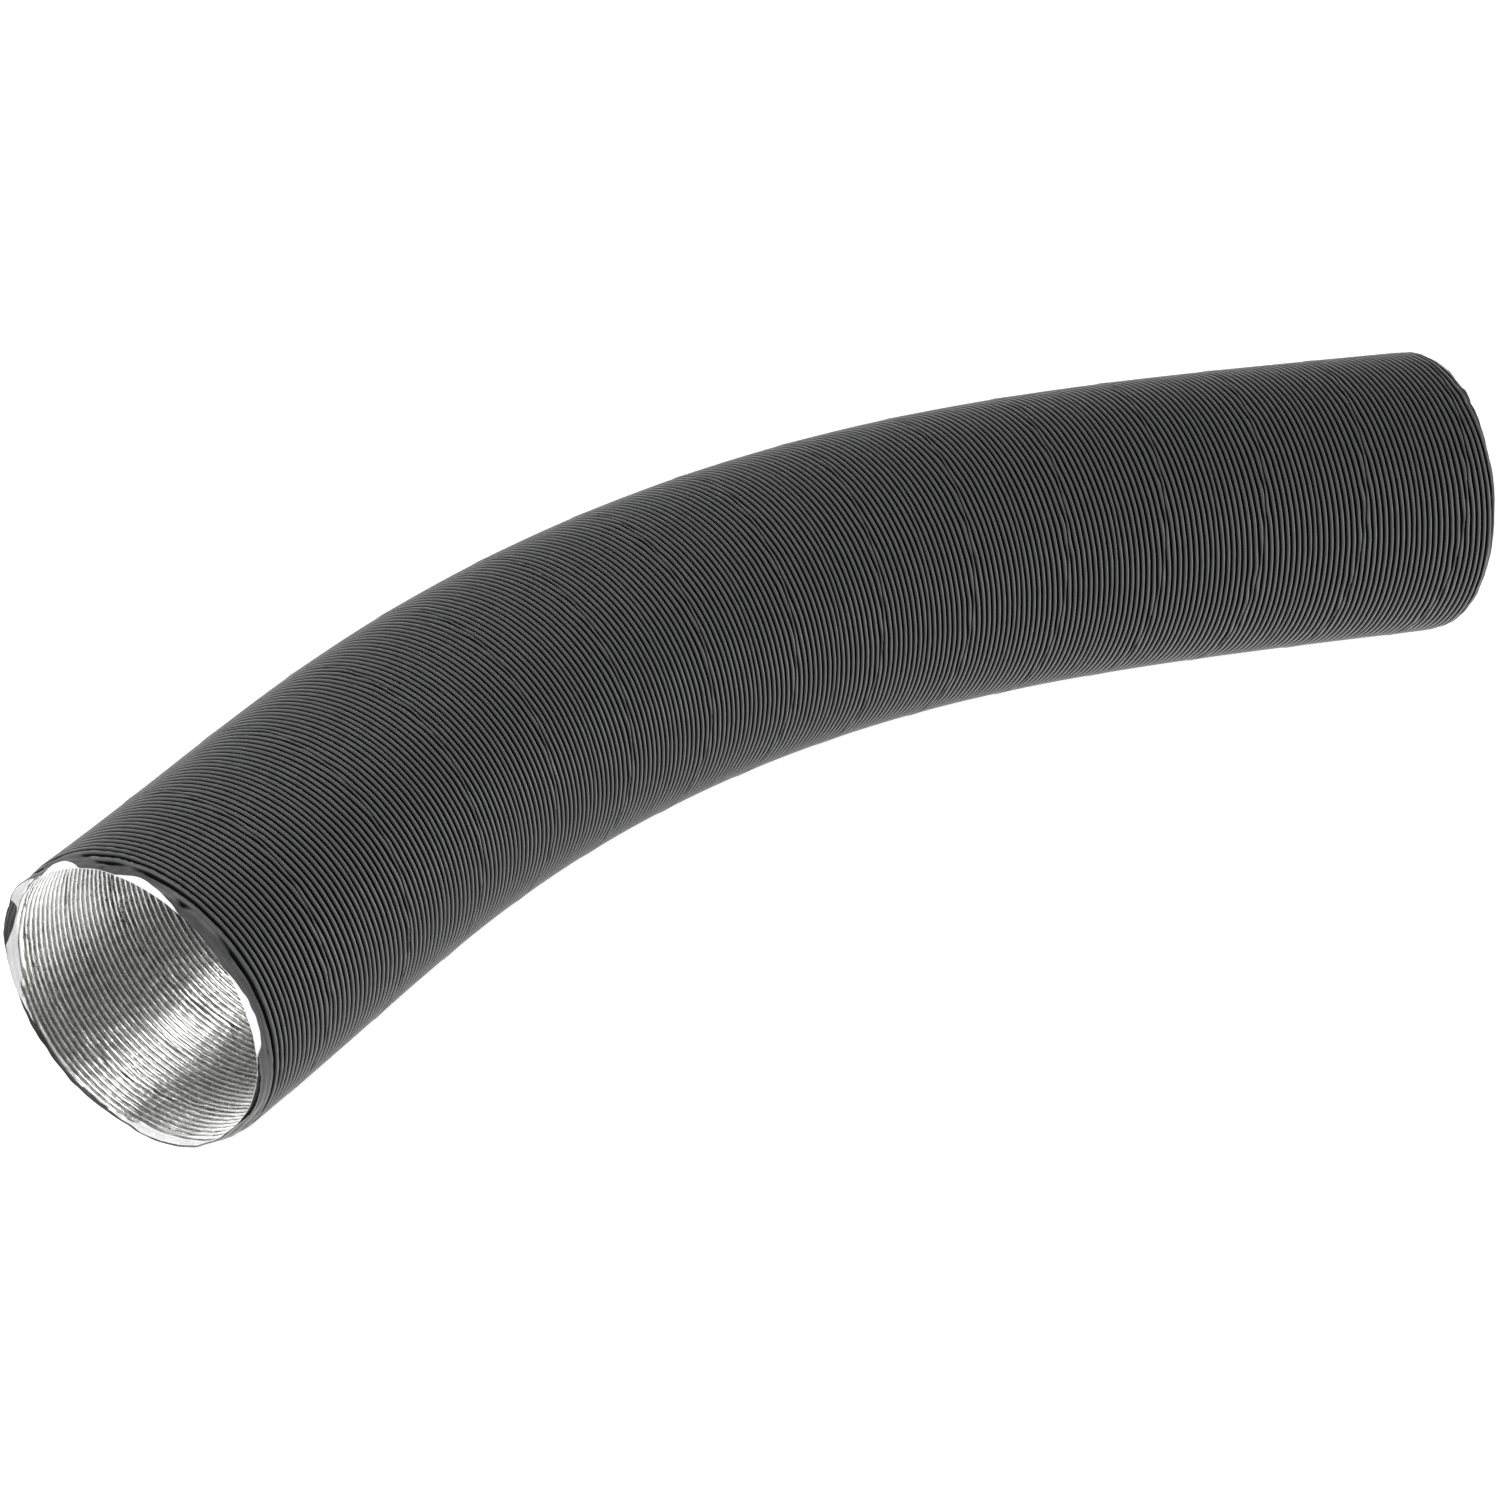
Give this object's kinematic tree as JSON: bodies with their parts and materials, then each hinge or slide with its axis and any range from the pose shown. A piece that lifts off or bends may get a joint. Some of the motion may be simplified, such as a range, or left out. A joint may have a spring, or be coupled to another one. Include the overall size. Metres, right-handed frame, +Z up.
{
  "type": "flexible air duct",
  "caption": "Bendable strip-wound air hose of finely corrugated black paper with an aluminium foil lining, open at both plain cut ends.",
  "frame": {"origin": "centre of the bottom of the duct's box as it lies on a surface, midway between its ends", "axes": "+X from the inlet's centre to the outlet's centre, +Z up; the duct bulges towards +Y in the middle"},
  "size_m": [0.4686, 0.1244, 0.0795],
  "materials": {
    "black_paper": "matte black kraft paper, finely corrugated, lightly scuffed on the crests",
    "aluminium_foil": "bright, finely creased aluminium foil"
  },
  "bodies": {
    "turn_01": {"foil_turn_01": "aluminium_foil", "paper_turn_01": "black_paper"},
    "turn_02": {"foil_fold_01": "aluminium_foil", "foil_turn_02": "aluminium_foil", "paper_fold_01": "black_paper", "paper_turn_02": "black_paper"},
    "turn_03": {"foil_fold_02": "aluminium_foil", "foil_turn_03": "aluminium_foil", "paper_fold_02": "black_paper", "paper_turn_03": "black_paper"},
    "turn_04": {"foil_fold_03": "aluminium_foil", "foil_turn_04": "aluminium_foil", "paper_fold_03": "black_paper", "paper_turn_04": "black_paper"},
    "turn_05": {"foil_fold_04": "aluminium_foil", "foil_turn_05": "aluminium_foil", "paper_fold_04": "black_paper", "paper_turn_05": "black_paper"},
    "turn_06": {"foil_fold_05": "aluminium_foil", "foil_turn_06": "aluminium_foil", "paper_fold_05": "black_paper", "paper_turn_06": "black_paper"},
    "turn_07": {"foil_fold_06": "aluminium_foil", "foil_fold_07": "aluminium_foil", "foil_turn_07": "aluminium_foil", "paper_fold_06": "black_paper", "paper_fold_07": "black_paper", "paper_turn_07": "black_paper"},
    "turn_08": {"foil_fold_08": "aluminium_foil", "foil_turn_08": "aluminium_foil", "paper_fold_08": "black_paper", "paper_turn_08": "black_paper"},
    "turn_09": {"foil_fold_09": "aluminium_foil", "foil_turn_09": "aluminium_foil", "paper_fold_09": "black_paper", "paper_turn_09": "black_paper"},
    "turn_10": {"foil_fold_10": "aluminium_foil", "foil_turn_10": "aluminium_foil", "paper_fold_10": "black_paper", "paper_turn_10": "black_paper"},
    "turn_11": {"foil_fold_11": "aluminium_foil", "foil_turn_11": "aluminium_foil", "paper_fold_11": "black_paper", "paper_turn_11": "black_paper"},
    "turn_12": {"foil_fold_12": "aluminium_foil", "foil_turn_12": "aluminium_foil", "paper_fold_12": "black_paper", "paper_turn_12": "black_paper"},
    "turn_13": {"foil_fold_13": "aluminium_foil", "foil_turn_13": "aluminium_foil", "paper_fold_13": "black_paper", "paper_turn_13": "black_paper"},
    "turn_14": {"foil_turn_14": "aluminium_foil", "paper_turn_14": "black_paper"}
  },
  "joints": [
    {"name": "bend_01_side", "type": "hinge", "parent": "turn_02", "child": "turn_01", "pos_m": [-0.19149, -0.01469, 0.03975], "axis": [0, 0, -1], "range_deg": [-20.2, 17.8], "deforming": ["paper_fold_01", "foil_fold_01"]},
    {"name": "bend_02_lift", "type": "hinge", "parent": "turn_03", "child": "turn_02", "pos_m": [-0.16046, -0.00452, 0.03975], "axis": [-0.3031, 0.953, 0], "range_deg": [-18, 18], "deforming": ["paper_fold_02", "foil_fold_02"]},
    {"name": "bend_03_side", "type": "hinge", "parent": "turn_04", "child": "turn_03", "pos_m": [-0.12925, 0.0051, 0.03975], "axis": [0, 0, -1], "range_deg": [-15.8, 22.2], "deforming": ["paper_fold_03", "foil_fold_03"]},
    {"name": "bend_04_lift", "type": "hinge", "parent": "turn_05", "child": "turn_04", "pos_m": [-0.09755, 0.01296, 0.03975], "axis": [-0.2057, 0.9786, 0], "range_deg": [-18, 18], "deforming": ["paper_fold_04", "foil_fold_04"]},
    {"name": "bend_05_side", "type": "hinge", "parent": "turn_06", "child": "turn_05", "pos_m": [-0.06537, 0.01853, 0.03975], "axis": [0, 0, -1], "range_deg": [-14.9, 23.1], "deforming": ["paper_fold_05", "foil_fold_05"]},
    {"name": "bend_06_lift", "type": "hinge", "parent": "turn_07", "child": "turn_06", "pos_m": [-0.03286, 0.02178, 0.03975], "axis": [-0.064, 0.9979, 0], "range_deg": [-18, 18], "deforming": ["paper_fold_06", "foil_fold_06"]},
    {"name": "bend_07_side", "type": "hinge", "parent": "turn_07", "child": "turn_08", "pos_m": [-0.00021, 0.02271, 0.03975], "axis": [0, 0, 1], "range_deg": [-14.9, 23.1], "deforming": ["paper_fold_07", "foil_fold_07"]},
    {"name": "bend_08_lift", "type": "hinge", "parent": "turn_08", "child": "turn_09", "pos_m": [0.03242, 0.02129, 0.03975], "axis": [-0.079, -0.9969, 0], "range_deg": [-18, 18], "deforming": ["paper_fold_08", "foil_fold_08"]},
    {"name": "bend_09_side", "type": "hinge", "parent": "turn_09", "child": "turn_10", "pos_m": [0.06487, 0.01755, 0.03975], "axis": [0, 0, 1], "range_deg": [-15, 23], "deforming": ["paper_fold_09", "foil_fold_09"]},
    {"name": "bend_10_lift", "type": "hinge", "parent": "turn_10", "child": "turn_11", "pos_m": [0.09697, 0.01155, 0.03975], "axis": [-0.2099, -0.9777, 0], "range_deg": [-18, 18], "deforming": ["paper_fold_10", "foil_fold_10"]},
    {"name": "bend_11_side", "type": "hinge", "parent": "turn_11", "child": "turn_12", "pos_m": [0.12871, 0.00384, 0.03975], "axis": [0, 0, 1], "range_deg": [-16.9, 21.1], "deforming": ["paper_fold_11", "foil_fold_11"]},
    {"name": "bend_12_lift", "type": "hinge", "parent": "turn_12", "child": "turn_13", "pos_m": [0.16014, -0.00504, 0.03975], "axis": [-0.2818, -0.9595, 0], "range_deg": [-18, 18], "deforming": ["paper_fold_12", "foil_fold_12"]},
    {"name": "bend_13_side", "type": "hinge", "parent": "turn_13", "child": "turn_14", "pos_m": [0.19137, -0.01456, 0.03975], "axis": [0, 0, 1], "range_deg": [-18.8, 19.2], "deforming": ["paper_fold_13", "foil_fold_13"]}
  ]
}
